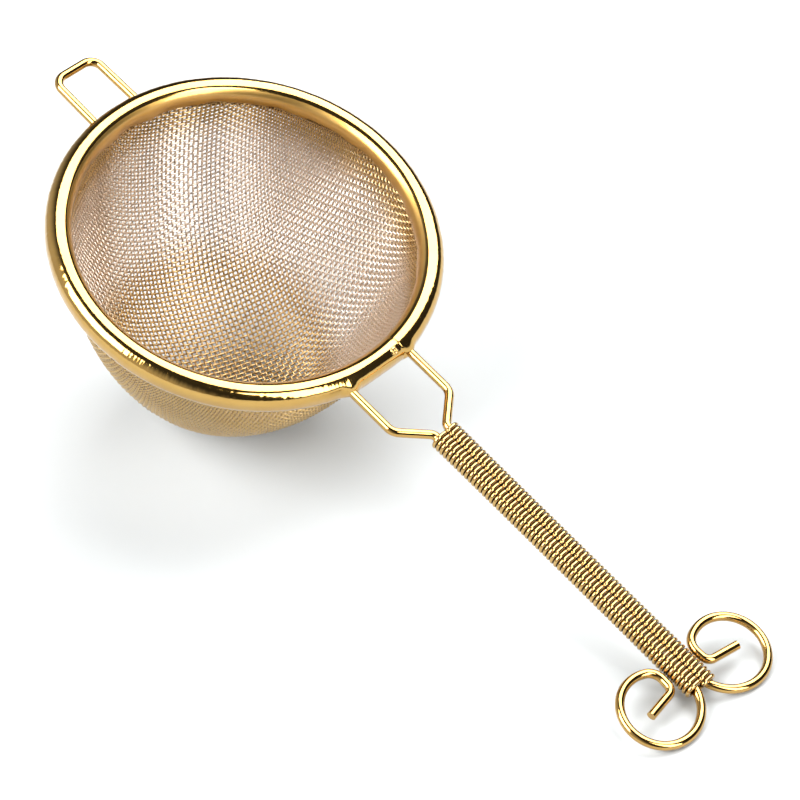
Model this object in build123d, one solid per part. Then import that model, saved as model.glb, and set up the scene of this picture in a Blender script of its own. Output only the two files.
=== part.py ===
from build123d import *
import math
import os

# Fine-mesh bar strainer: a woven wire bowl clamped in a rolled rim, on a handle of two bent wires bound with
# a close-wound wire. Millimetres. The pieces are drawn in the plane of the rim, with the handle along +X, and
# then laid down as the strainer rests on a table: on the bottom of its bowl and on its two scrolls.

# Wire stock and fits
frame_wire_diameter = 2.0
wrap_wire_diameter = 1.07
fit_clearance = 0.05

# Rolled rim, a hollow bead of thin strip
rim_bead_width = 5.7
rim_bead_straight = 0.75
rim_inner_radius = 37.15
rim_sheet = 0.4
rim_inner_lip_depth = 0.5
spout_length = 0.6
spout_mouth_wall = 0.35
weld_radius = 0.95
weld_height = 0.25
weld_edge_radius = 0.2
weld_turn = 6
weld_lift = 60

# Mesh bowl: a tapering wall, a tighter shoulder and a shallow rounded bottom
mesh_thickness = 0.7
wall_start_depth = 2.7
wall_taper = 5.6
wall_radius = 78.0
wall_end_slope = 36
shoulder_radius = 20.0
shoulder_end_slope = 65

# Rest loop, which hooks over the edge of a glass
rest_reach = 13.35
rest_foot_half_gap = 5.85
rest_tip_half_gap = 5.6
rest_corner_radius = 2.8
rest_foot_gap = 0.2

# Handle wires
leg_half_gap = 8.5
leg_root_radius = 3.0
leg_length = 11.65
leg_corner_radius = 3.2
neck_length = 5.75
neck_radius = 1.8
core_half_gap = 1.85
core_pinch_length = 9.0
core_pinch_run = 4.5
core_pinch_radius = 12.0

# Bound grip
wrap_turns = 71
wrap_start_gap = 0.5

# Scrolls at the end of the handle
scroll_radius = 8.15
scroll_out_inset = 3.2
scroll_out_shift = 1.12
scroll_side_gap = 0.2
scroll_in_radius = 3.4
scroll_in_start = 205
scroll_in_end = 273
scroll_flat = 1.4
scroll_bend_radius = 1.9
scroll_stub_turn = 81
scroll_stub_length = 6.3

wire_radius = frame_wire_diameter / 2

# Rim section: two half rounds joined by short straight sides
bead_outer_bend = rim_bead_width / 2
bead_inner_bend = bead_outer_bend - rim_sheet
bead_centre_radius = rim_inner_radius + bead_outer_bend
bead_bend_height = rim_bead_straight / 2
rim_bead_height = rim_bead_width + rim_bead_straight
rim_outer_radius = rim_inner_radius + rim_bead_width

# Mesh edge and frame hoop, side by side inside the bead
mesh_edge_inner_radius = rim_inner_radius + rim_sheet + fit_clearance
mesh_edge_outer_radius = mesh_edge_inner_radius + mesh_thickness
hoop_radius = mesh_edge_outer_radius + fit_clearance + wire_radius

# Where the straight legs start, tangent to a bend that is tangent to the hoop
leg_root_y = leg_half_gap + leg_root_radius
leg_root_x = math.sqrt((hoop_radius + leg_root_radius) ** 2 - leg_root_y**2)
leg_root_angle = math.degrees(math.atan2(leg_root_y, leg_root_x))
leg_corner_x = rim_outer_radius + leg_length
neck_end_x = leg_corner_x + neck_length

# Bound grip and scroll places
wrap_start_x = neck_end_x + wrap_start_gap
wrap_end_x = wrap_start_x + wrap_turns * wrap_wire_diameter
wrap_inner_half_width = core_half_gap + wire_radius + fit_clearance
wrap_inner_half_height = wire_radius + fit_clearance
wrap_outer_half_width = wrap_inner_half_width + wrap_wire_diameter
pinch_half_gap = wire_radius + fit_clearance / 2
pinch_start_x = wrap_end_x - core_pinch_length
scroll_low_y = wrap_outer_half_width + wire_radius + scroll_side_gap


def polar(centre, radius, degrees):
    """The point at a radius and an angle from a centre in the plane of the rim."""
    angle = math.radians(degrees)
    return Vector(centre) + Vector(radius * math.cos(angle), radius * math.sin(angle))


def ahead(point, heading, length):
    """The point reached from another by going straight for a length."""
    return polar(point, length, heading)


def bent_wire(path, radius=wire_radius):
    """A round wire of constant section along a path of lines and tangent arcs."""
    section = Plane(origin=path @ 0, z_dir=path % 0) * Circle(radius)
    return sweep(section, path=path)


# Scroll: a wide opening bend out of the grip, a round, then a tighter closing bend that runs back past the
# grip's side at scroll_low_y. The opening bend's radius is the one that meets the round tangentially.
scroll_in_drop = scroll_radius - scroll_in_radius
scroll_centre_y = scroll_low_y + scroll_in_radius - scroll_in_drop * math.sin(math.radians(scroll_in_start))
scroll_rise = scroll_centre_y - pinch_half_gap
scroll_out_radius = (scroll_out_shift**2 + scroll_rise**2 - scroll_radius**2) / (
    2 * (scroll_rise - scroll_radius)
)
scroll_out_centre = Vector(wrap_end_x - scroll_out_inset, pinch_half_gap + scroll_out_radius)
scroll_centre = Vector(scroll_out_centre.X + scroll_out_shift, scroll_centre_y)
scroll_join_angle = math.degrees(math.atan2(scroll_centre_y - scroll_out_centre.Y, scroll_out_shift))

# Bowl section: a wall arc, a shoulder arc and a bottom arc, each tangent to the next
wall_centre = polar((mesh_edge_outer_radius, -wall_start_depth), wall_radius, 180 - wall_taper)
shoulder_start = polar(wall_centre, wall_radius, -wall_end_slope)
shoulder_centre = polar(shoulder_start, shoulder_radius, 180 - wall_end_slope)
bottom_start = polar(shoulder_centre, shoulder_radius, -shoulder_end_slope)
bottom_radius = bottom_start.X / math.cos(math.radians(shoulder_end_slope))
bottom_centre = Vector(0, bottom_start.Y + bottom_radius * math.sin(math.radians(shoulder_end_slope)))


def handle_wire_path():
    """The centre line of the wire on the +Y side, from inside the rim to the end of its scroll."""
    root_centre = (leg_root_x, leg_root_y)
    root = CenterArc(root_centre, leg_root_radius, 180 + leg_root_angle, 90 - leg_root_angle)
    legs = FilletPolyline(
        (leg_root_x, leg_half_gap),
        (leg_corner_x, leg_half_gap),
        (neck_end_x, core_half_gap),
        (pinch_start_x, core_half_gap),
        (pinch_start_x + core_pinch_run, pinch_half_gap),
        (scroll_out_centre.X, pinch_half_gap),
        radius=[leg_corner_radius, neck_radius, core_pinch_radius, core_pinch_radius],
    )
    opening = CenterArc(scroll_out_centre, scroll_out_radius, -90, 90 + scroll_join_angle)
    round_turn = CenterArc(
        scroll_centre, scroll_radius, scroll_join_angle, scroll_in_start - scroll_join_angle
    )
    in_centre = polar(scroll_centre, scroll_in_drop, scroll_in_start)
    closing = CenterArc(in_centre, scroll_in_radius, scroll_in_start, scroll_in_end - scroll_in_start)
    flat_heading = scroll_in_end + 90
    flat_end = ahead(closing @ 1, flat_heading, scroll_flat)
    flat = Line(closing @ 1, flat_end)
    bend_centre = ahead(flat_end, flat_heading + 90, scroll_bend_radius)
    bend = CenterArc(
        bend_centre, scroll_bend_radius, scroll_in_end, scroll_stub_turn + 360 - flat_heading
    )
    stub = Line(bend @ 1, ahead(bend @ 1, scroll_stub_turn, scroll_stub_length))
    return Wire(root.edges() + legs.edges() + [opening, round_turn, closing, flat, bend, stub])


def rest_loop_path():
    """The centre line of the U-shaped rest loop, from its foot on the +Y side to the other foot."""
    foot_x = -math.sqrt((hoop_radius + wire_radius + rest_foot_gap) ** 2 - rest_foot_half_gap**2)
    tip_x = -(rim_outer_radius + rest_reach)
    return FilletPolyline(
        (foot_x, rest_foot_half_gap),
        (tip_x, rest_tip_half_gap),
        (tip_x, -rest_tip_half_gap),
        (foot_x, -rest_foot_half_gap),
        radius=rest_corner_radius,
    )


def rim_hollow():
    """The space inside the bead, which the strip is rolled round."""
    section = SlotOverall(rim_bead_height - 2 * rim_sheet, 2 * bead_inner_bend, rotation=90)
    return revolve(Plane.XZ * Pos(bead_centre_radius, 0) * section, Axis.Z)


def rim_strip():
    """The rolled strip: up the inner wall, over the top, down and round to grip the mesh from outside."""
    top = (bead_centre_radius, bead_bend_height)
    bottom = (bead_centre_radius, -bead_bend_height)
    lip_reach = bead_centre_radius - mesh_edge_outer_radius - fit_clearance
    lip_angle = 180 + math.degrees(math.acos(lip_reach / bead_outer_bend))
    inner_lip_x = rim_inner_radius
    with BuildSketch(Plane.XZ) as section:
        with BuildLine():
            Line((inner_lip_x, -rim_inner_lip_depth), polar(top, bead_outer_bend, 180))
            CenterArc(top, bead_outer_bend, 180, -180)
            Line(polar(top, bead_outer_bend, 0), polar(bottom, bead_outer_bend, 0))
            CenterArc(bottom, bead_outer_bend, 0, lip_angle - 360)
            Line(polar(bottom, bead_outer_bend, lip_angle), polar(bottom, bead_inner_bend, lip_angle))
            CenterArc(bottom, bead_inner_bend, lip_angle, 360 - lip_angle)
            Line(polar(bottom, bead_inner_bend, 0), polar(top, bead_inner_bend, 0))
            CenterArc(top, bead_inner_bend, 0, 180)
            Line(
                polar(top, bead_inner_bend, 180),
                (inner_lip_x + rim_sheet, -rim_inner_lip_depth),
            )
            Line((inner_lip_x + rim_sheet, -rim_inner_lip_depth), (inner_lip_x, -rim_inner_lip_depth))
        make_face()
    return revolve(section.sketch, Axis.Z)


def leg_spout(side):
    """The peak that the strip is drawn out into over the handle wire on one side of the handle."""
    mouth_x = rim_outer_radius + spout_length
    root_radius = bead_bend_height + bead_inner_bend
    mouth_radius = wire_radius + spout_mouth_wall
    spout = Plane(origin=(bead_centre_radius, side * leg_half_gap, 0), z_dir=(1, 0, 0)) * Cone(
        root_radius,
        mouth_radius,
        mouth_x - bead_centre_radius,
        align=(Align.CENTER, Align.CENTER, Align.MIN),
    )
    return spout


def weld_nugget():
    """The round spot weld that closes the strip's butt joint, beside the leg on the +Y side."""
    lift = math.radians(weld_lift)
    out_radius = bead_centre_radius + bead_outer_bend * math.cos(lift)
    height = bead_bend_height + bead_outer_bend * math.sin(lift)
    outward = Vector(math.cos(lift), 0, math.sin(lift))
    base = Vector(out_radius, 0, height) - outward * rim_sheet
    nugget = Plane(origin=base, z_dir=outward) * Cylinder(
        weld_radius, rim_sheet + weld_height, align=(Align.CENTER, Align.CENTER, Align.MIN)
    )
    top_edges = nugget.edges().filter_by(GeomType.CIRCLE).sort_by(Axis.Z)[-1:]
    return fillet(top_edges, weld_edge_radius).rotate(Axis.Z, weld_turn)


def rim_band(nugget, wires):
    """The rolled rim with its two spouts, open where the handle wires, rest loop and weld pass through it."""
    band = rim_strip()
    hollow = rim_hollow()
    inside = Cylinder(bead_centre_radius, rim_bead_height)
    for side in (1, -1):
        band = band + (leg_spout(side) - hollow - inside)
    band = band - nugget
    for wire in wires:
        band = band - wire
    return band


def mesh_outline(offset):
    """The bowl's wall, shoulder and bottom arcs in section, moved inwards by an offset."""
    return [
        CenterArc(wall_centre, wall_radius - offset, -wall_taper, wall_taper - wall_end_slope),
        CenterArc(
            shoulder_centre, shoulder_radius - offset, -wall_end_slope, wall_end_slope - shoulder_end_slope
        ),
        CenterArc(bottom_centre, bottom_radius - offset, -shoulder_end_slope, shoulder_end_slope - 90),
    ]


def mesh_bowl():
    """The woven bowl as a thin wall, with its edge turned up straight inside the rim."""
    outer = mesh_outline(0)
    inner = mesh_outline(mesh_thickness)
    edge_out = (mesh_edge_outer_radius, bead_bend_height)
    edge_in = (mesh_edge_inner_radius, bead_bend_height)
    with BuildSketch(Plane.XZ) as section:
        with BuildLine():
            Line(edge_in, edge_out)
            Line(edge_out, outer[0] @ 0)
            for arc in outer:
                add(arc)
            Line(outer[-1] @ 1, inner[-1] @ 1)
            for arc in inner:
                add(arc)
            Line(inner[0] @ 0, edge_in)
        make_face()
    return revolve(section.sketch, Axis.Z)


def frame_hoop():
    """The wire round the inside of the rim, open between the two handle wires."""
    hoop = CenterArc((0, 0), hoop_radius, leg_root_angle, 360 - 2 * leg_root_angle)
    return bent_wire(Wire([hoop]))


def handle_wrap():
    """The close-wound grip, as a sleeve with one rounded ring for each turn of the wire."""
    turn_radius = wrap_wire_diameter / 2
    web = wrap_inner_half_height + turn_radius
    with BuildSketch(Plane.XZ) as section:
        with BuildLine():
            Line((wrap_start_x, web), (wrap_start_x, wrap_inner_half_height))
            Line((wrap_start_x, wrap_inner_half_height), (wrap_end_x, wrap_inner_half_height))
            Line((wrap_end_x, wrap_inner_half_height), (wrap_end_x, web))
            for turn in range(wrap_turns):
                CenterArc((wrap_start_x + (turn + 0.5) * wrap_wire_diameter, web), turn_radius, 180, -180)
        make_face()
    half_straight = wrap_inner_half_width - wrap_inner_half_height
    flat_top = extrude(section.sketch, half_straight, both=True)
    side_axis = Axis((0, half_straight, 0), (-1, 0, 0))
    round_side = revolve(Pos(0, half_straight, 0) * section.sketch, side_axis, 180)
    sleeve = flat_top + mirror(flat_top, Plane.XY)
    return sleeve + round_side + mirror(round_side, Plane.XZ)


def resting_tilt():
    """How far the handle drops, in degrees, when the bowl's bottom and the scrolls stand on a table."""
    far_x = scroll_out_centre.X + scroll_out_radius
    span = math.hypot(far_x, bottom_centre.Y)
    slope = math.degrees(math.atan2(bottom_centre.Y, far_x))
    return math.degrees(math.asin((bottom_radius - wire_radius) / span)) - slope


right_path = handle_wire_path()
right_wire = bent_wire(right_path)
left_wire = mirror(right_wire, Plane.XZ)
rest_loop = bent_wire(rest_loop_path())
nugget = weld_nugget()
right_hole = bent_wire(right_path, wire_radius + fit_clearance)
rest_hole = bent_wire(rest_loop_path(), wire_radius + fit_clearance)

pieces = {
    "rim_band": rim_band(nugget, [right_hole, mirror(right_hole, Plane.XZ), rest_hole]),
    "rim_weld": nugget,
    "mesh_bowl": mesh_bowl(),
    "frame_hoop": frame_hoop(),
    "handle_wire_left": left_wire,
    "handle_wire_right": right_wire,
    "handle_wrap": handle_wrap(),
    "rest_loop": rest_loop,
}

tilt = resting_tilt()
laid = {name: shape.rotate(Axis.Y, tilt) for name, shape in pieces.items()}
box = Compound(list(laid.values())).bounding_box()
to_origin = Pos(-(box.min.X + box.max.X) / 2, 0, -box.min.Z)

os.makedirs("parts", exist_ok=True)
for name, shape in laid.items():
    export_step(to_origin * shape, f"parts/{name}.step")
    print(name, round(shape.volume, 2), len(shape.solids()), shape.is_valid)
print("tilt", round(tilt, 3), "shift", to_origin.position)
print("size", box.size)
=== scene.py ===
import math

import bmesh
import bpy
import numpy as np
from mathutils import Matrix, Vector


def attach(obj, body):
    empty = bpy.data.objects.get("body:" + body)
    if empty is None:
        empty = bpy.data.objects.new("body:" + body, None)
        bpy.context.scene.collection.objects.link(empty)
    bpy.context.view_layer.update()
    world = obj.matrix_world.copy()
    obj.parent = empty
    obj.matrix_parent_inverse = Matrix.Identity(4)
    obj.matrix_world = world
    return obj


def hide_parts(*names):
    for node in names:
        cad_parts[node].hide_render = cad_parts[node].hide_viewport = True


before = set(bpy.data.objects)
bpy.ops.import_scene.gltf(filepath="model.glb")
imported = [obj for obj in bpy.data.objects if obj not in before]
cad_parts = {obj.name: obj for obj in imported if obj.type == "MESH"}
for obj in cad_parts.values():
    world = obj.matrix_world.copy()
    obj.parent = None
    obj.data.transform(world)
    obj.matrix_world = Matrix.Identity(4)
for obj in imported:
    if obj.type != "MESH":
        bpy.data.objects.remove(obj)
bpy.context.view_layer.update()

# ---------------------------------------------------------------------------------------------------------
# Handle wires. Two bright drawn stainless steel wires, 2 mm thick and plated yellow gold, leave the rim
# side by side, close up to run inside the grip, and end in a scroll each. They were bent round pins, and
# their far ends are cropped square.
# ---------------------------------------------------------------------------------------------------------
MM = 0.001
# Every piece is laid out in millimetres in the plane of the rim, with the handle along X. Then it is leaned
# until the bowl and the scrolls touch the table.
RIM_CENTRE = (-40.6717 * MM, 0, 50.0788 * MM)
LEAN = 20.099
TABLE_POSE = Matrix.Translation(RIM_CENTRE) @ Matrix.Rotation(math.radians(LEAN), 4, "Y")
ARC_STEP = 4
FRAME_WIRE_RADIUS = 1.0
FRAME_WIRE_ROUNDNESS = 7
# The wire's route, from its root on the hoop: a leg, the neck, the core of the grip, the pinch, the scroll.
HOOP_RADIUS = 39.35
LEG_ROOT_RADIUS = 3.0
LEG_HALF_GAP = 8.5
LEG_CORNER_X = 54.5
LEG_CORNER_RADIUS = 3.2
NECK_END_X = 60.25
NECK_RADIUS = 1.8
CORE_HALF_GAP = 1.85
PINCH_START_X = 127.72
PINCH_RUN = 4.5
PINCH_HALF_GAP = 1.025
PINCH_RADIUS = 12.0
SCROLL_OUT_X = 133.52
SCROLL_RADIUS = 8.15
SCROLL_SHIFT = 1.12
SCROLL_CENTRE_Y = 10.577
SCROLL_IN_RADIUS = 3.4
SCROLL_IN_START = 205
SCROLL_IN_END = 273
SCROLL_FLAT = 1.4
SCROLL_BEND_RADIUS = 1.9
SCROLL_STUB_TURN = 81
SCROLL_STUB_LENGTH = 6.3
# The gold is deeper in patches 9 mm across, and wiping has left haze in marks 1.4 mm across. Painted shade
# makes a gap as dark brown as it gets when it is less than 0.4 open.
PATCH_SIZE = 9
WIPE_SIZE = 1.4
GAP_SHUT = 0.4
GAP_OPEN = 0.88
GAP_PAINTED_SHADE = "1e1006"
LACQUER_WEIGHT = 0.6
LACQUER_ROUGHNESS = 0.06


def srgb(code):
    """The linear colour of an sRGB hex value."""
    channels = [int(code[i : i + 2], 16) / 255 for i in (0, 2, 4)]
    return [c / 12.92 if c <= 0.04045 else ((c + 0.055) / 1.055) ** 2.4 for c in channels] + [1.0]


def add_node(owner, kind, settings=None, **links):
    """Adds a node to a material or world; its inputs are named, or numbered as i0, i1 and so on."""
    node = owner.node_tree.nodes.new(kind)
    for name, value in (settings or {}).items():
        if name in node.inputs:
            node.inputs[name].default_value = value
        elif name[0] == "i" and name[1:].isdigit():
            node.inputs[int(name[1:])].default_value = value
        else:
            setattr(node, name, value)
    for name, source in links.items():
        key = int(name[1:]) if name[0] == "i" and name[1:].isdigit() else name.replace("_", " ")
        owner.node_tree.links.new(source, node.inputs[key])
    return node


def new_material(name):
    """An empty material, with its shader and output nodes in place."""
    material = bpy.data.materials.new(name)
    material.use_nodes = True
    return material, material.node_tree.nodes["Principled BSDF"]


def gold_plate(name, light, deep, roughness, roughness_range, ripple_mm, ripple_height_mm, shade_gap_mm=0):
    """Gold plate on steel under clear lacquer.

    It is yellow, deeper in patches, hazed where it was wiped, and rippled by the metal under it. With a gap
    size in mm, gaps narrower than that are darkened brown with painted shade.
    """
    material, shader = new_material(name)
    place = add_node(material, "ShaderNodeTexCoord").outputs["Object"]
    patches = add_node(
        material,
        "ShaderNodeTexNoise",
        {"Scale": 1 / (PATCH_SIZE * MM), "Detail": 3.0, "Roughness": 0.6},
        Vector=place,
    )
    tint = add_node(
        material,
        "ShaderNodeMix",
        {"data_type": "RGBA", "i6": srgb(light), "i7": srgb(deep)},
        i0=patches.outputs[0],
    )
    colour = tint.outputs[2]
    # Painted shade: an ambient occlusion mask darkens narrow gaps towards dark brown.
    if shade_gap_mm:
        openness = add_node(
            material, "ShaderNodeAmbientOcclusion", {"samples": 4, "Distance": shade_gap_mm * MM}
        )
        unshaded = add_node(
            material,
            "ShaderNodeMapRange",
            {"From Min": GAP_SHUT, "From Max": GAP_OPEN},
            Value=openness.outputs["AO"],
        )
        painted_shade = add_node(
            material,
            "ShaderNodeMix",
            {"data_type": "RGBA", "i6": srgb(GAP_PAINTED_SHADE)},
            i0=unshaded.outputs[0],
            i7=colour,
        )
        colour = painted_shade.outputs[2]
    material.node_tree.links.new(colour, shader.inputs["Base Color"])
    wipe = add_node(
        material,
        "ShaderNodeTexNoise",
        {"Scale": 1 / (WIPE_SIZE * MM), "Detail": 4.0, "Roughness": 0.65},
        Vector=place,
    )
    haze = add_node(
        material,
        "ShaderNodeMapRange",
        {"To Min": roughness - roughness_range, "To Max": roughness + roughness_range},
        Value=wipe.outputs[0],
    )
    material.node_tree.links.new(haze.outputs[0], shader.inputs["Roughness"])
    ripple = add_node(
        material,
        "ShaderNodeTexNoise",
        {"Scale": 1 / (ripple_mm * MM), "Detail": 2.0},
        Vector=place,
    )
    bump = add_node(
        material,
        "ShaderNodeBump",
        {"Strength": 1.0, "Distance": ripple_height_mm * MM},
        Height=ripple.outputs[0],
    )
    material.node_tree.links.new(bump.outputs[0], shader.inputs["Normal"])
    shader.inputs["Metallic"].default_value = 1.0
    shader.inputs["Coat Weight"].default_value = LACQUER_WEIGHT
    shader.inputs["Coat Roughness"].default_value = LACQUER_ROUGHNESS
    return material


# Bright drawn wire, plated: sharp reflections, broken a little by ripples 0.6 mm across.
plated_wire = gold_plate("gold_plated_drawn_wire", "c69f56", "ad853f", 0.09, 0.03, 0.6, 0.004)


def arc_points(centre, radius, start, sweep):
    """Points round an arc in the plane of the rim, a few degrees apart."""
    steps = max(2, round(abs(sweep) / ARC_STEP))
    angles = [math.radians(start + sweep * i / steps) for i in range(steps + 1)]
    return [Vector((centre[0] + radius * math.cos(a), centre[1] + radius * math.sin(a), 0)) for a in angles]


def rounded_points(corners, radii):
    """Points along straight runs whose inner corners are rounded off to the radii given."""
    points = [Vector((*corners[0], 0))]
    for i, radius in enumerate(radii, start=1):
        before, corner, after = (Vector((*corners[k], 0)) for k in (i - 1, i, i + 1))
        to_before = (before - corner).normalized()
        to_after = (after - corner).normalized()
        half = to_before.angle(to_after) / 2
        centre = corner + (to_before + to_after).normalized() * radius / math.sin(half)
        first = corner + to_before * radius / math.tan(half) - centre
        last = corner + to_after * radius / math.tan(half) - centre
        start = math.degrees(math.atan2(first.y, first.x))
        sweep = math.degrees(math.atan2(last.y, last.x)) - start
        sweep = (sweep + 180) % 360 - 180
        points += arc_points(centre, radius, start, sweep)
    return points + [Vector((*corners[-1], 0))]


def lay_wires(name, runs, wire_radius, roundness, material):
    """Round wires along runs of points, laid down as the strainer rests on the table."""
    curve = bpy.data.curves.new(name, "CURVE")
    curve.dimensions = "3D"
    curve.bevel_depth = wire_radius * MM
    curve.bevel_resolution = roundness
    curve.use_fill_caps = True
    for run in runs:
        spline = curve.splines.new("POLY")
        spline.points.add(len(run) - 1)
        flat = np.ones((len(run), 4))
        flat[:, :3] = np.array([tuple(p) for p in run]) * MM
        spline.points.foreach_set("co", flat.ravel())
        spline.use_smooth = True
    curve.transform(TABLE_POSE)
    curve.materials.append(material)
    piece = bpy.data.objects.new(name, curve)
    bpy.context.scene.collection.objects.link(piece)
    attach(piece, "root")
    return piece


def scroll_points():
    """The opening bend, the round, the closing bend and the stub of the scroll on the +Y side."""
    rise = SCROLL_CENTRE_Y - PINCH_HALF_GAP
    out_radius = (SCROLL_SHIFT**2 + rise**2 - SCROLL_RADIUS**2) / (2 * (rise - SCROLL_RADIUS))
    out_centre = Vector((SCROLL_OUT_X, PINCH_HALF_GAP + out_radius, 0))
    centre = Vector((SCROLL_OUT_X + SCROLL_SHIFT, SCROLL_CENTRE_Y, 0))
    join = math.degrees(math.atan2(centre.y - out_centre.y, SCROLL_SHIFT))
    points = arc_points(out_centre, out_radius, -90, 90 + join)
    points += arc_points(centre, SCROLL_RADIUS, join, SCROLL_IN_START - join)[1:]
    drop = SCROLL_RADIUS - SCROLL_IN_RADIUS
    turn = math.radians(SCROLL_IN_START)
    in_centre = centre + Vector((math.cos(turn), math.sin(turn), 0)) * drop
    points += arc_points(in_centre, SCROLL_IN_RADIUS, SCROLL_IN_START, SCROLL_IN_END - SCROLL_IN_START)[1:]
    heading = math.radians(SCROLL_IN_END + 90)
    flat_end = points[-1] + Vector((math.cos(heading), math.sin(heading), 0)) * SCROLL_FLAT
    bend_centre = flat_end + Vector((-math.sin(heading), math.cos(heading), 0)) * SCROLL_BEND_RADIUS
    sweep = SCROLL_STUB_TURN - (SCROLL_IN_END + 90 - 360)
    points += arc_points(bend_centre, SCROLL_BEND_RADIUS, SCROLL_IN_END, sweep)
    stub = math.radians(SCROLL_STUB_TURN)
    points.append(points[-1] + Vector((math.cos(stub), math.sin(stub), 0)) * SCROLL_STUB_LENGTH)
    return points


root_y = LEG_HALF_GAP + LEG_ROOT_RADIUS
root_x = math.sqrt((HOOP_RADIUS + LEG_ROOT_RADIUS) ** 2 - root_y**2)
root_angle = math.degrees(math.atan2(root_y, root_x))
wire_run = arc_points((root_x, root_y), LEG_ROOT_RADIUS, 180 + root_angle, 90 - root_angle)
wire_run += rounded_points(
    [
        (root_x, LEG_HALF_GAP),
        (LEG_CORNER_X, LEG_HALF_GAP),
        (NECK_END_X, CORE_HALF_GAP),
        (PINCH_START_X, CORE_HALF_GAP),
        (PINCH_START_X + PINCH_RUN, PINCH_HALF_GAP),
        (SCROLL_OUT_X, PINCH_HALF_GAP),
    ],
    [LEG_CORNER_RADIUS, NECK_RADIUS, PINCH_RADIUS, PINCH_RADIUS],
)[1:]
wire_run += scroll_points()[1:]
mirrored_run = [Vector((p.x, -p.y, p.z)) for p in wire_run]

right_wire = lay_wires(
    "right_handle_wire", [wire_run], FRAME_WIRE_RADIUS, FRAME_WIRE_ROUNDNESS, plated_wire
)
left_wire = lay_wires(
    "left_handle_wire", [mirrored_run], FRAME_WIRE_RADIUS, FRAME_WIRE_ROUNDNESS, plated_wire
)
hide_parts("handle_wire_right")
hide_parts("handle_wire_left")

# ---------------------------------------------------------------------------------------------------------
# Frame hoop. The same wire runs on round the inside of the rolled rim, where it can't be seen. It keeps the
# rim round and carries the handle.
# ---------------------------------------------------------------------------------------------------------
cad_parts["frame_hoop"].data.materials.clear()
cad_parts["frame_hoop"].data.materials.append(plated_wire)

# ---------------------------------------------------------------------------------------------------------
# Rest loop. A U of the same 2 mm wire, whose feet are gripped in the rim opposite the handle. It hooks over
# the far edge of a glass.
# ---------------------------------------------------------------------------------------------------------
REST_TIP_X = -56.2
REST_FOOT_X = -42.14
REST_FOOT_HALF_GAP = 5.85
REST_TIP_HALF_GAP = 5.6
REST_CORNER_RADIUS = 2.8

rest_run = rounded_points(
    [
        (REST_FOOT_X, REST_FOOT_HALF_GAP),
        (REST_TIP_X, REST_TIP_HALF_GAP),
        (REST_TIP_X, -REST_TIP_HALF_GAP),
        (REST_FOOT_X, -REST_FOOT_HALF_GAP),
    ],
    [REST_CORNER_RADIUS, REST_CORNER_RADIUS],
)
rest_wire = lay_wires(
    "rest_loop_wire", [rest_run], FRAME_WIRE_RADIUS, FRAME_WIRE_ROUNDNESS, plated_wire
)
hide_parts("rest_loop")

# ---------------------------------------------------------------------------------------------------------
# Bound grip. One wire, about 1 mm thick, is wound in 71.5 close turns round the two handle wires. It bears
# on their outer sides and sags a little into the gap between them, so the grip is nearly flat on top and
# rounded at its sides.
# ---------------------------------------------------------------------------------------------------------
WRAP_WIRE_RADIUS = 0.48
WRAP_WIRE_ROUNDNESS = 4
WRAP_SINK_DEPTH = 0.45
WRAP_SINK_WIDTH = 0.45
WRAP_START_X = 60.75
WRAP_TURNS = 71.5
WRAP_PITCH = 1.07
WRAP_SIDE_RADIUS = 1.585
WRAP_FLAT_HALF = 1.85
# Points laid in each turn.
WRAP_STEPS = 48


def wrap_sink(y):
    """How far the wire sinks into the gap between the two handle wires, at a distance from the middle."""
    return WRAP_SINK_DEPTH * math.exp(-abs(y) / WRAP_SINK_WIDTH)


def wrap_point(turn):
    """The wire's centre after a number of turns, starting under the grip."""
    flat = 2 * WRAP_FLAT_HALF
    bend = math.pi * WRAP_SIDE_RADIUS
    x = WRAP_START_X + WRAP_WIRE_RADIUS + turn * WRAP_PITCH * (WRAP_TURNS - 1) / WRAP_TURNS
    along = (turn % 1.0) * 2 * (flat + bend)
    along = (along - flat / 2) % (2 * (flat + bend))
    side = 1 if along < flat + bend else -1
    past = along % (flat + bend)
    if past >= bend:
        y = WRAP_FLAT_HALF - (past - bend)
        return Vector((x, side * y, side * (WRAP_SIDE_RADIUS - wrap_sink(y))))
    a = past / WRAP_SIDE_RADIUS - math.pi / 2
    y = WRAP_FLAT_HALF + WRAP_SIDE_RADIUS * math.cos(a)
    return Vector((x, side * y, side * WRAP_SIDE_RADIUS * math.sin(a)))


# Softer, thinner wire, plated after it was wound: paler gold on its crests, and painted shade, dark brown,
# between its turns.
plated_wrap = gold_plate("gold_plated_wrap_wire", "d0ad6c", "b68e4a", 0.09, 0.03, 0.5, 0.004, 0.7)
wrap_run = [wrap_point(i / WRAP_STEPS) for i in range(round(WRAP_TURNS * WRAP_STEPS) + 1)]
grip = lay_wires("bound_grip", [wrap_run], WRAP_WIRE_RADIUS, WRAP_WIRE_ROUNDNESS, plated_wrap)
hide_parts("handle_wrap")

# ---------------------------------------------------------------------------------------------------------
# Rolled rim. A thin stainless strip is rolled over the mesh's edge and the hoop into a hollow bead, with a
# short skirt down the inside, then polished and plated. Rolling puckers its outer side, and it is drawn out
# into a spout round each handle wire.
# ---------------------------------------------------------------------------------------------------------
RIM_INNER = 37.15
RIM_BEND = 2.85
RIM_HALF_STRAIGHT = 0.375
RIM_SHEET = 0.4
RIM_SKIRT_Z = -0.5
RIM_LIP_ANGLE = 236.0
RIM_STEPS = 1440
# The satin inner side is this wide, measured out from the mouth.
RIM_SATIN_DEPTH = 1.25
MERGE_GAP = 0.0005
# The bead is drawn out round each handle wire, and is slimmer between the two.
SPOUT_FROM = 0.45
SPOUT_FAN = 30
SPOUT_PULL = 0.9
SPOUT_SIZE = 3.0
FRONT_SLIM = 0.35
FRONT_HALF_WIDTH = 7.5
# Puckers are low ridges on the bead's outer side.
PUCKER_FROM = 0.3
PUCKER_HEIGHT = 0.05
PUCKER_RISE = 0.6
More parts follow.
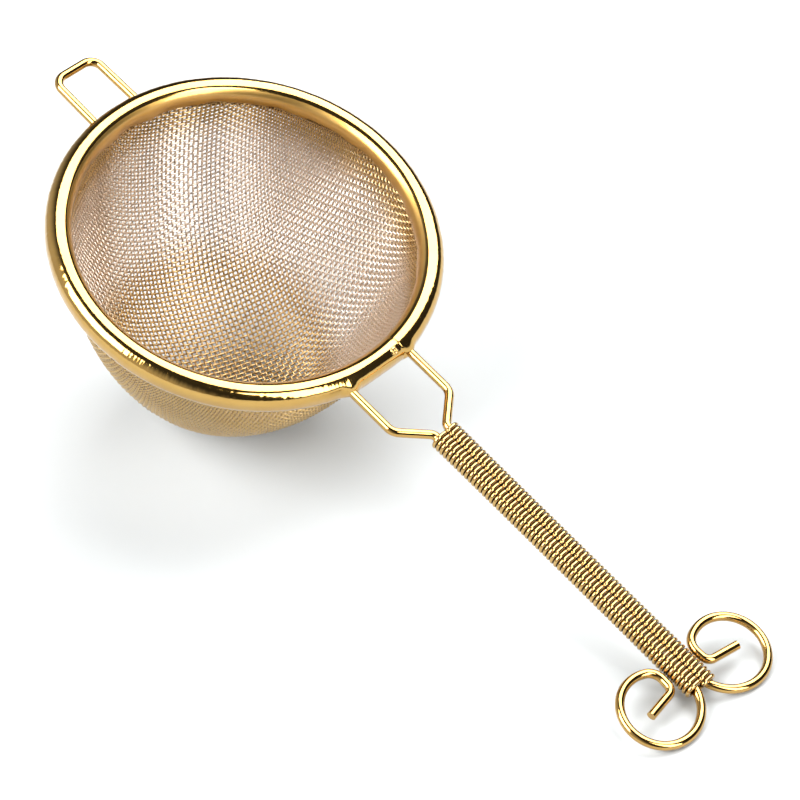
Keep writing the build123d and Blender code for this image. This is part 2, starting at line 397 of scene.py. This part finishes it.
# The skirt's edge wanders, and is dented in beside the rest loop.
SKIRT_TO = 0.1
SKIRT_TOP_Z = 2
SKIRT_FADE = 2.5
SKIRT_WAVE_IN = 0.05
SKIRT_WAVE_DOWN = 0.14
DENT_TURN = 171
DENT_SIZE = 7
DENT_DEPTH = 0.3
# The strip's two ends meet in a butt seam.
SEAM_TURN = 8.7
SEAM_HALF_WIDTH = 0.3
SEAM_DEPTH = 0.12


def on_arc(centre, radius, degrees):
    """A point of a section, as (radius, height), on an arc of it."""
    a = math.radians(degrees)
    return (centre[0] + radius * math.cos(a), centre[1] + radius * math.sin(a))


def section_arc(centre, radius, start, end, steps):
    """Points along an arc of a section, with both its ends."""
    return [on_arc(centre, radius, start + (end - start) * i / steps) for i in range(steps + 1)]


def rim_profile():
    """The rolled strip's section as (radius, height), outside first and then back along its inside."""
    upper = (RIM_INNER + RIM_BEND, RIM_HALF_STRAIGHT)
    lower = (RIM_INNER + RIM_BEND, -RIM_HALF_STRAIGHT)
    lip = RIM_LIP_ANGLE - 360
    inner_bend = RIM_BEND - RIM_SHEET
    return [
        (RIM_INNER, RIM_SKIRT_Z),
        (RIM_INNER, RIM_SKIRT_Z / 2),
        *section_arc(upper, RIM_BEND, 180, 0, 16),
        *section_arc(lower, RIM_BEND, 0, lip, 12),
        *section_arc(lower, inner_bend, lip, 0, 6),
        *section_arc(upper, inner_bend, 0, 180, 8),
        (RIM_INNER + RIM_SHEET, RIM_SKIRT_Z),
    ]


def smooth_fall(distance, size):
    """1 at no distance, falling smoothly to 0 at a size."""
    t = max(0.0, 1 - distance / size)
    return t * t * (3 - 2 * t)


def pucker(turn):
    """How far rolling has puckered the strip at a turn round the rim, between about -1 and 1."""
    a = math.radians(turn)
    slow = math.sin(23 * a + 1.0) + math.sin(41 * a + 2.3)
    fast = math.sin(97 * a + 0.7 + slow) + 0.7 * math.sin(151 * a + 1.9 * slow)
    fine = math.sin(367 * a + 3 * slow) * (0.5 + 0.5 * math.sin(5 * a + 2.0))
    return 0.3 * slow + 0.3 * fast + 0.22 * fine


def skirt_wave(turn):
    """How far the skirt's edge wanders at a turn round the rim, between about -2 and 2."""
    a = math.radians(turn)
    return math.sin(19 * a) + 0.6 * math.sin(33 * a + 1.1) + 0.5 * math.sin(7 * a + 0.4)


def shape_rim(point):
    """A point of the round strip, moved for its spouts, slim front, puckers, wavy skirt and seam."""
    turn = math.degrees(math.atan2(point.y, point.x))
    radius = math.hypot(point.x, point.y)
    outward = Vector((point.x, point.y, 0)) / radius
    # How far out across the bead the point is, from 0 at the mouth to 1 at the outer side.
    reach = (radius - RIM_INNER) / (2 * RIM_BEND)
    move = Vector((0, 0, 0))
    if reach > SPOUT_FROM and abs(turn) < SPOUT_FAN:
        off_wire = math.hypot(abs(point.y) - LEG_HALF_GAP, point.z)
        move.x += SPOUT_PULL * smooth_fall(off_wire, SPOUT_SIZE) * reach
        move -= outward * FRONT_SLIM * smooth_fall(abs(point.y), FRONT_HALF_WIDTH) * reach
    if reach > PUCKER_FROM:
        push = PUCKER_HEIGHT * (reach - PUCKER_FROM) * pucker(turn)
        move += outward * push
        move.z += push * PUCKER_RISE
    if reach < SKIRT_TO and point.z < SKIRT_TOP_Z:
        wave = skirt_wave(turn)
        fade = (SKIRT_TOP_Z - point.z) / SKIRT_FADE
        dent = DENT_DEPTH * smooth_fall(abs(abs(turn) - DENT_TURN), DENT_SIZE)
        move -= outward * (SKIRT_WAVE_IN * wave + dent) * fade
        move.z -= (SKIRT_WAVE_DOWN * wave + dent) * fade
    off_seam = abs(turn - SEAM_TURN)
    if off_seam < SEAM_HALF_WIDTH:
        normal = Vector((point.x, point.y, 0)) - outward * (RIM_INNER + RIM_BEND)
        normal.z = point.z
        move -= normal.normalized() * SEAM_DEPTH * (1 - off_seam / (2 * SEAM_HALF_WIDTH))
    return point + move


def spin_section(bm, section, steps, closed):
    """A section of (radius, height) points, spun once round the Z axis."""
    verts = [bm.verts.new((radius, 0, height)) for radius, height in section]
    edges = [bm.edges.new(pair) for pair in zip(verts, verts[1:])]
    if closed:
        edges.append(bm.edges.new((verts[-1], verts[0])))
    bmesh.ops.spin(
        bm,
        geom=verts + edges,
        axis=(0, 0, 1),
        cent=(0, 0, 0),
        angle=2 * math.pi,
        steps=steps,
        use_merge=True,
    )
    bmesh.ops.remove_doubles(bm, verts=bm.verts, dist=MERGE_GAP)
    bmesh.ops.recalc_face_normals(bm, faces=bm.faces)


def lay_mesh(name, build, *materials):
    """A piece from a bmesh that is built in the plane of the rim, in millimetres, then laid down."""
    bm = bmesh.new()
    build(bm)
    bmesh.ops.transform(bm, matrix=TABLE_POSE @ Matrix.Scale(MM, 4), verts=bm.verts)
    mesh = bpy.data.meshes.new(name)
    bm.to_mesh(mesh)
    bm.free()
    for material in materials:
        mesh.materials.append(material)
    mesh.shade_smooth()
    piece = bpy.data.objects.new(name, mesh)
    bpy.context.scene.collection.objects.link(piece)
    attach(piece, "root")
    return piece


def build_rim(bm):
    """The strip's section spun round the rim's axis, then shaped."""
    spin_section(bm, rim_profile(), RIM_STEPS, closed=True)
    for face in bm.faces:
        middle = face.calc_center_median()
        if math.hypot(middle.x, middle.y) < RIM_INNER + RIM_SATIN_DEPTH:
            face.material_index = 1
    for vert in bm.verts:
        vert.co = shape_rim(vert.co)


# Cold-rolled strip, polished and plated: bright, with shallow ripples 2.2 mm across.
rolled_strip = gold_plate("gold_plated_rolled_strip", "cba55a", "b58b40", 0.11, 0.04, 2.2, 0.012)
# The strip's inner side isn't buffed: it keeps the satin of the rolled sheet.
satin_strip = gold_plate("gold_plated_satin_strip", "cba45e", "b38840", 0.33, 0.06, 1.6, 0.010)
rim = lay_mesh("rolled_rim", build_rim, rolled_strip, satin_strip)
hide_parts("rim_band")

# ---------------------------------------------------------------------------------------------------------
# Spot weld. One round spot beside the handle closes the strip's butt seam. The electrode pressed a ring
# into its molten metal and left a low button, and the plating went over it.
# ---------------------------------------------------------------------------------------------------------
WELD_TURN = 6.0
WELD_LIFT = 60
WELD_STEPS = 36
WELD_SECTION = [
    (0, 0.24),
    (0.15, 0.2),
    (0.27, 0.05),
    (0.36, -0.02),
    (0.46, 0.1),
    (0.58, 0.18),
    (0.74, 0.12),
    (0.9, 0.0),
    (1.0, -0.15),
]


def build_weld(bm):
    """A low button with a ring sunk in it, on the side of the bead that slopes down to the handle."""
    spin_section(bm, WELD_SECTION, WELD_STEPS, closed=False)
    out_radius, height = on_arc((RIM_INNER + RIM_BEND, RIM_HALF_STRAIGHT), RIM_BEND, WELD_LIFT)
    turn = Matrix.Rotation(math.radians(WELD_TURN), 4, "Z")
    tip = Matrix.Rotation(math.radians(90 - WELD_LIFT), 4, "Y")
    place = turn @ Matrix.Translation((out_radius, 0, height)) @ tip
    bmesh.ops.transform(bm, matrix=place, verts=bm.verts)


# Melted metal, plated but not polished: duller than the strip, with painted shade, brown, in its ring.
plated_weld = gold_plate("gold_plated_weld_metal", "d8b46c", "c0964c", 0.16, 0.05, 0.5, 0.01, 0.6)
weld = lay_mesh("spot_weld", build_weld, plated_weld)
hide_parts("rim_weld")

# ---------------------------------------------------------------------------------------------------------
# Mesh bowl. Plain-woven stainless steel cloth, of wires about 0.5 mm thick at a pitch of 1.07 mm, pressed to
# a bowl and plated. Pressing shears the weave: half way between the two directions of its wires, its square
# cells close to thin diamonds. Its edge is gripped in the rim.
# ---------------------------------------------------------------------------------------------------------
MESH_PITCH = 1.07
MESH_WIRE_RADIUS = 0.25
MESH_WIRE_ROUNDNESS = 1
# How far each wire swings to pass over and under, first for the warp, which is bent most, so its crests
# stand out as beads. Together it is less than a wire's thickness: the wires bed into each other.
MESH_CRIMPS = (0.22, 0.07)
CRIMP_PARTS = (0.25, 0.75)
MESH_TURN = -20.0
MESH_STRAY = 0.035
MESH_TOP_Z = -0.35
MESH_EDGE_RADIUS = 37.83
# The bowl's wall is this much outside the middle of its cloth.
MESH_INSET = 0.47
WALL_START_DEPTH = 2.7
WALL_TAPER = 5.6
WALL_RADIUS = 78.0
WALL_END_SLOPE = 36
WALL_SPARE = 4
SHOULDER_RADIUS = 20.0
SHOULDER_END_SLOPE = 65
PROFILE_STEP = 0.4
PROFILE_LEAST_STEPS = 8


def bowl_profile():
    """The bowl's section as rows of arc length, radius and height, from the middle of its bottom upwards."""
    start = (MESH_EDGE_RADIUS + MESH_INSET, -WALL_START_DEPTH)
    wall = on_arc(start, WALL_RADIUS, 180 - WALL_TAPER)
    shoulder = on_arc(on_arc(wall, WALL_RADIUS, -WALL_END_SLOPE), SHOULDER_RADIUS, 180 - WALL_END_SLOPE)
    low = on_arc(shoulder, SHOULDER_RADIUS, -SHOULDER_END_SLOPE)
    bottom_radius = low[0] / math.cos(math.radians(SHOULDER_END_SLOPE))
    bottom = (0, low[1] + bottom_radius * math.sin(math.radians(SHOULDER_END_SLOPE)))
    arcs = [
        (bottom, bottom_radius - MESH_INSET, -90, -SHOULDER_END_SLOPE),
        (shoulder, SHOULDER_RADIUS - MESH_INSET, -SHOULDER_END_SLOPE, -WALL_END_SLOPE),
        (wall, WALL_RADIUS - MESH_INSET, -WALL_END_SLOPE, -WALL_TAPER),
    ]
    points = []
    for centre, radius, first, last in arcs:
        steps = max(PROFILE_LEAST_STEPS, int(radius * math.radians(last - first) / PROFILE_STEP))
        points += section_arc(centre, radius, first, last, steps)[:-1]
    points += [(MESH_EDGE_RADIUS, -WALL_START_DEPTH), (MESH_EDGE_RADIUS, MESH_TOP_Z + WALL_SPARE)]
    points = np.array(points)
    lengths = np.concatenate([[0], np.cumsum(np.hypot(*np.diff(points, axis=0).T))])
    return np.column_stack([lengths, points])


profile = bowl_profile()
top_length = np.interp(MESH_TOP_Z, profile[-2:, 2], profile[-2:, 0])


def on_bowl(length, turn):
    """The point of the bowl at an arc length from its bottom and an angle round it, in radians."""
    radius = np.interp(length, profile[:, 0], profile[:, 1])
    height = np.interp(length, profile[:, 0], profile[:, 2])
    return np.array([radius * math.cos(turn), radius * math.sin(turn), height])


# How a knot's place is searched for: the most tries, the miss that is near enough, the nudge that measures
# the slope, the longest steps, how far past the cloth's edge it may lie, and where the wall turns steep.
KNOT_TRIES = 12
KNOT_MISS = 1e-7
KNOT_NUDGE = 1e-4
KNOT_LENGTH_STEP = 0.5
KNOT_TURN_STEP = 0.3
KNOT_SPARE = 3
STEEP_LENGTH = 20


def pitch_miss(point, first, second):
    """How far a point is from being one pitch away from each of two neighbours, in squares."""
    return np.array([np.sum((point - first) ** 2), np.sum((point - second) ** 2)]) - MESH_PITCH**2


def next_knot(first, second, guess):
    """The place on the bowl that is one pitch from two neighbours, by Newton's method from a guess."""
    length, turn = guess
    for _ in range(KNOT_TRIES):
        miss = pitch_miss(on_bowl(length, turn), first, second)
        if abs(miss).max() < KNOT_MISS:
            return length, turn
        up = pitch_miss(on_bowl(length + KNOT_NUDGE, turn), first, second)
        round_it = pitch_miss(on_bowl(length, turn + KNOT_NUDGE), first, second)
        slope = np.column_stack([(up - miss) / KNOT_NUDGE, (round_it - miss) / KNOT_NUDGE])
        step = np.linalg.lstsq(slope, -miss, rcond=None)[0]
        length_scale = KNOT_LENGTH_STEP / max(abs(step[0]), 1e-9)
        turn_scale = KNOT_TURN_STEP / max(abs(step[1]), 1e-9)
        scale = min(1.0, length_scale, turn_scale)
        length += step[0] * scale
        turn += step[1] * scale
    return None


def weave_quarter(count):
    """The knots of the weave in one quarter, as {(i, j): (length, turn)}; wires start out along X and Y."""
    knots = {(i, 0): (i * MESH_PITCH, 0.0) for i in range(count)}
    knots.update({(0, j): (j * MESH_PITCH, math.pi / 2) for j in range(1, count)})
    for i in range(1, count):
        for j in range(1, count):
            a, b = knots.get((i - 1, j)), knots.get((i, j - 1))
            c = knots.get((i - 1, j - 1))
            if not a or not b or not c:
                continue
            pa, pb, pc = on_bowl(*a), on_bowl(*b), on_bowl(*c)
            aim = pa + pb - pc
            if (i, j) == (1, 1):
                guess = (MESH_PITCH * math.sqrt(2), math.pi / 4)
            elif c[0] > STEEP_LENGTH:
                guess = (np.interp(aim[2], profile[:, 2], profile[:, 0]), math.atan2(aim[1], aim[0]))
            else:
                guess = (a[0] + b[0] - c[0], math.atan2(aim[1], aim[0]))
            found = next_knot(pa, pb, guess)
            if found and found[0] < top_length + KNOT_SPARE and found[0] > c[0]:
                knots[(i, j)] = found
    return knots


WEAVE_COUNT = int(top_length / MESH_PITCH) + 2
quarter = weave_quarter(WEAVE_COUNT)

strays = np.random.RandomState(5).uniform(-1, 1, (2 * WEAVE_COUNT + 1, 2 * WEAVE_COUNT + 1, 3))
cloth_turn = np.array(Matrix.Rotation(math.radians(MESH_TURN), 3, "Z"))
NORMAL_REACH = 0.2


def knot_place(i, j):
    """The place of a knot in any quarter, with the outward normal of the bowl there."""
    found = quarter.get((abs(i), abs(j)))
    if not found or found[0] > top_length:
        return None
    length, turn = found
    along = on_bowl(length + NORMAL_REACH, turn) - on_bowl(max(0, length - NORMAL_REACH), turn)
    radial = np.array([math.cos(turn), math.sin(turn), 0])
    rise = np.array([0, 0, 1.0])
    normal = radial * np.dot(along, rise) - rise * np.dot(along, radial)
    normal /= np.linalg.norm(normal)
    flip = np.array([1 if i >= 0 else -1, 1 if j >= 0 else -1, 1])
    slip = strays[i + WEAVE_COUNT, j + WEAVE_COUNT] * MESH_STRAY
    return cloth_turn @ (on_bowl(length, turn) * flip) + slip, cloth_turn @ (normal * flip)


def weave_runs(direction, rows):
    """The wires of one direction of the weave, each passing over and under the wires across it in turn."""
    crimp = MESH_CRIMPS[direction]
    runs = []
    for row in rows:
        run = []
        before = None
        for step in range(-WEAVE_COUNT, WEAVE_COUNT + 1):
            place = knot_place(*((step, row) if direction == 0 else (row, step)))
            if place is None:
                if len(run) > 2:
                    runs.append(run)
                run = []
                before = None
                continue
            side = 1 if (step + row) % 2 == direction else -1
            if before:
                for part in CRIMP_PARTS:
                    middle = before[0] * (1 - part) + place[0] * part
                    run.append(middle - place[1] * side * crimp * math.cos(math.pi * part))
            run.append(place[0] + place[1] * side * crimp)
            before = place
        if len(run) > 2:
            runs.append(run)
    return runs


# Woven wire, plated after pressing: the many crests give soft, broken reflections, with painted shade,
# brown, at the crossings.
plated_cloth = gold_plate("gold_plated_wire_cloth", "caa96e", "b5904e", 0.29, 0.06, 0.4, 0.002, 0.25)
# The bowl's inside is painted paler, a painted sheen that stands in for the soft box's white sheen on its
# crests, most of all half way down. The depths are in millimetres below the mouth, along the bowl's axis.
PAINTED_SHEEN = "d2c3b6"
SHEEN_DEPTH = 23
SHEEN_REACH = 11
SHEEN_END = 18
SHEEN_LEAST = 0.1
# A face is inside or outside by how its normal lies to the line from the middle of the mouth to it.
INSIDE_FROM = 0.15
INSIDE_FULL = -0.45
cloth_shader = plated_cloth.node_tree.nodes["Principled BSDF"]
cloth_colour = cloth_shader.inputs["Base Color"].links[0].from_socket
cloth_place = add_node(plated_cloth, "ShaderNodeTexCoord")
mouth = TABLE_POSE @ Vector((0, 0, 0))
from_mouth = add_node(
    plated_cloth,
    "ShaderNodeVectorMath",
    {"operation": "SUBTRACT", "i1": mouth},
    i0=cloth_place.outputs["Object"],
)
outward = add_node(
    plated_cloth, "ShaderNodeVectorMath", {"operation": "NORMALIZE"}, i0=from_mouth.outputs[0]
)
facing_out = add_node(
    plated_cloth,
    "ShaderNodeVectorMath",
    {"operation": "DOT_PRODUCT"},
    i0=outward.outputs[0],
    i1=cloth_place.outputs["Normal"],
)
inside_facing = add_node(
    plated_cloth,
    "ShaderNodeMapRange",
    {"From Min": INSIDE_FROM, "From Max": INSIDE_FULL},
    Value=facing_out.outputs["Value"],
)
into_bowl = -(TABLE_POSE.to_3x3() @ Vector((0, 0, 1)))
depth = add_node(
    plated_cloth,
    "ShaderNodeVectorMath",
    {"operation": "DOT_PRODUCT", "i1": into_bowl},
    i0=from_mouth.outputs[0],
)
off_middle = add_node(
    plated_cloth,
    "ShaderNodeMath",
    {"operation": "SUBTRACT", "i1": SHEEN_DEPTH * MM},
    i0=depth.outputs["Value"],
)
distance = add_node(plated_cloth, "ShaderNodeMath", {"operation": "ABSOLUTE"}, i0=off_middle.outputs[0])
band = add_node(
    plated_cloth,
    "ShaderNodeMapRange",
    {"From Min": SHEEN_END * MM, "From Max": SHEEN_REACH * MM, "To Min": SHEEN_LEAST},
    Value=distance.outputs[0],
)
painted_sheen = add_node(
    plated_cloth,
    "ShaderNodeMath",
    {"operation": "MULTIPLY"},
    i0=inside_facing.outputs[0],
    i1=band.outputs[0],
)
# Painted sheen: inner faces in the band are mixed towards the pale colour.
sheen_mix = add_node(
    plated_cloth,
    "ShaderNodeMix",
    {"data_type": "RGBA", "i7": srgb(PAINTED_SHEEN)},
    i0=painted_sheen.outputs[0],
    i6=cloth_colour,
)
plated_cloth.node_tree.links.new(sheen_mix.outputs[2], cloth_shader.inputs["Base Color"])
# Each direction of wires is three pieces: the outer rows on one side, the middle rows, and the other side.
MIDDLE_ROWS = 12
cloth_parts = [
    range(-WEAVE_COUNT, -MIDDLE_ROWS),
    range(-MIDDLE_ROWS, MIDDLE_ROWS),
    range(MIDDLE_ROWS, WEAVE_COUNT + 1),
]
for direction, name in enumerate(("warp", "weft")):
    for part, rows in enumerate(cloth_parts, start=1):
        runs = weave_runs(direction, rows)
        piece = lay_wires(
            f"mesh_{name}_{part}", runs, MESH_WIRE_RADIUS, MESH_WIRE_ROUNDNESS, plated_cloth
        )
        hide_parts("mesh_bowl")

# ---------------------------------------------------------------------------------------------------------
# Floor, lights and camera. A sheet of white paper lies under three large soft boxes, in a room that is dark
# on one side and pale on the other.
# ---------------------------------------------------------------------------------------------------------
FLOOR_HALF = 1.2
paper, paper_shader = new_material("white_paper")
# Matt paper, a soft white that takes shadows without a sheen.
paper_shader.inputs["Base Color"].default_value = srgb("afb2b3")
paper_shader.inputs["Roughness"].default_value = 0.9
bm = bmesh.new()
bmesh.ops.create_grid(bm, x_segments=1, y_segments=1, size=FLOOR_HALF)
floor_mesh = bpy.data.meshes.new("floor")
bm.to_mesh(floor_mesh)
bm.free()
floor_mesh.materials.append(paper)
floor = bpy.data.objects.new("floor", floor_mesh)
bpy.context.scene.collection.objects.link(floor)

LAMP_DISTANCE = 1.1
# Each soft box: its name, compass turn and height above the horizon in degrees, width, height and watts.
SOFT_BOXES = [
    ("key_soft_box", 98, 57, 0.93, 1.12, 26),
    ("left_soft_box", 252, 45, 0.75, 0.80, 21),
    ("end_soft_box", 0, 32, 0.46, 0.95, 12),
]
for name, turn, lift, width, height, watts in SOFT_BOXES:
    light = bpy.data.lights.new(name, "AREA")
    light.shape = "RECTANGLE"
    light.size = width
    light.size_y = height
    light.energy = watts
    lamp = bpy.data.objects.new(name, light)
    flat_distance = LAMP_DISTANCE * math.cos(math.radians(lift))
    lamp.location = (
        flat_distance * math.cos(math.radians(turn)),
        flat_distance * math.sin(math.radians(turn)),
        LAMP_DISTANCE * math.sin(math.radians(lift)),
    )
    lamp.rotation_euler = (-lamp.location).to_track_quat("-Z", "Y").to_euler()
    bpy.context.scene.collection.objects.link(lamp)

ROOM_PALE_TURN = math.radians(235)
ROOM_PALE_DIP = -0.25
ROOM_DARK = 0.04
ROOM_PALE = 0.75
world = bpy.data.worlds.new("room")
world.use_nodes = True
background = world.node_tree.nodes["Background"]
pale_side = (math.cos(ROOM_PALE_TURN), math.sin(ROOM_PALE_TURN), ROOM_PALE_DIP)
room_side = add_node(world, "ShaderNodeTexCoord").outputs["Generated"]
facing_pale = add_node(
    world, "ShaderNodeVectorMath", {"operation": "DOT_PRODUCT", "i1": pale_side}, i0=room_side
)
room_shade = add_node(
    world,
    "ShaderNodeMapRange",
    {
        "From Min": -0.1,
        "From Max": 0.75,
        "To Min": ROOM_DARK,
        "To Max": ROOM_PALE,
        "interpolation_type": "SMOOTHSTEP",
    },
    Value=facing_pale.outputs["Value"],
)
world.node_tree.links.new(room_shade.outputs[0], background.inputs["Strength"])
background.inputs["Color"].default_value = srgb("ffffff")
bpy.context.scene.world = world
bpy.context.scene.view_settings.view_transform = "Standard"

CAMERA_PLACE = (0.37687, -0.33408, 0.48225)
CAMERA_RIGHT = (0.70503, 0.70672, -0.05905)
CAMERA_DOWN = (0.44408, -0.50486, -0.74021)
CAMERA_LENS = 145.07
camera_data = bpy.data.cameras.new("camera")
camera_data.sensor_width = 36
camera_data.lens = CAMERA_LENS
camera = bpy.data.objects.new("camera", camera_data)
right = Vector(CAMERA_RIGHT).normalized()
facing = right.cross(Vector(CAMERA_DOWN).normalized()).normalized()
up = -facing.cross(right).normalized()
camera_axes = Matrix((right, up, -facing)).transposed().to_4x4()
camera.matrix_world = Matrix.Translation(CAMERA_PLACE) @ camera_axes
bpy.context.scene.collection.objects.link(camera)
bpy.context.scene.camera = camera
